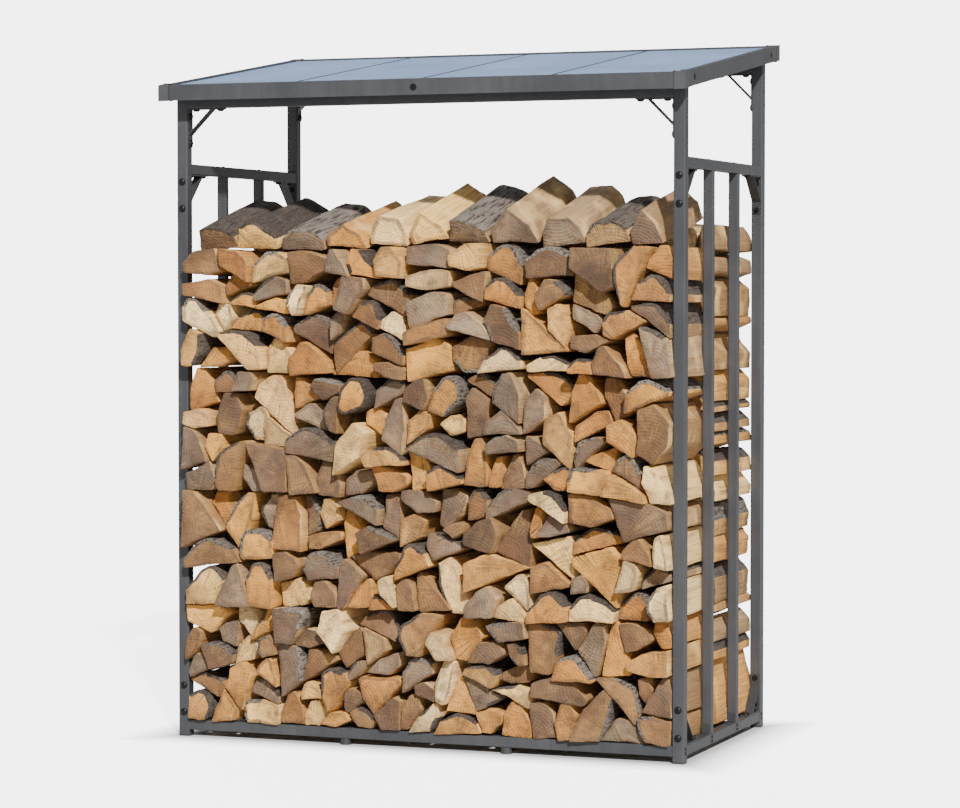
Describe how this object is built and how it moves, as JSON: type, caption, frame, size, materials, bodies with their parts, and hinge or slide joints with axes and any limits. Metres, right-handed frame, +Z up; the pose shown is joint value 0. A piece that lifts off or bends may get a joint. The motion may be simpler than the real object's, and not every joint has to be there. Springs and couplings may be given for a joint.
{
  "type": "log store",
  "caption": "Open metal log store with slatted sides and a sloped sheet roof, filled with split firewood.",
  "frame": {"origin": "on the ground, midway between the four posts", "axes": "+Z up, +Y towards the back, where the roof is highest, +X to the right as seen from the front"},
  "size_m": [1.432, 0.852, 1.8311],
  "materials": {
    "frame_steel": "anthracite powder coat",
    "bracket_steel": "anthracite powder coat",
    "roof_sheet": "tinted twin-wall sheet",
    "seam_strip": "dark strip",
    "cap_plastic": "grey moulded",
    "black_plastic": "black moulded",
    "firewood": "split and air-dried, some bark"
  },
  "bodies": {
    "root": {"bottom_rail_back": "frame_steel", "bottom_rail_front": "frame_steel", "bottom_rail_left": "frame_steel", "bottom_rail_right": "frame_steel", "brackets_back_left": "bracket_steel", "brackets_back_right": "bracket_steel", "brackets_front_left": "bracket_steel", "brackets_front_right": "bracket_steel", "floor_rail_1": "frame_steel", "floor_rail_2": "frame_steel", "header_back": "frame_steel", "header_front": "frame_steel", "logs_back_1": "firewood", "logs_back_2": "firewood", "logs_back_3": "firewood", "logs_back_4": "firewood", "logs_front_1": "firewood", "logs_front_2": "firewood", "logs_front_3": "firewood", "logs_front_4": "firewood", "post_back_left": "frame_steel", "post_back_right": "frame_steel", "post_foot_caps": "black_plastic", "post_front_left": "frame_steel", "post_front_right": "frame_steel", "rafter_1": "frame_steel", "rafter_2": "frame_steel", "rafter_3": "frame_steel", "roof_corner_caps": "cap_plastic", "roof_panel_1": "roof_sheet", "roof_panel_2": "roof_sheet", "roof_panel_3": "roof_sheet", "roof_panel_4": "roof_sheet", "roof_rail_back": "frame_steel", "roof_rail_front": "frame_steel", "roof_rail_left": "frame_steel", "roof_rail_right": "frame_steel", "roof_seam_strips": "seam_strip", "round_feet": "black_plastic", "slat_left_1": "frame_steel", "slat_left_2": "frame_steel", "slat_right_1": "frame_steel", "slat_right_2": "frame_steel", "upper_rail_left": "frame_steel", "upper_rail_right": "frame_steel"}
  },
  "joints": []
}
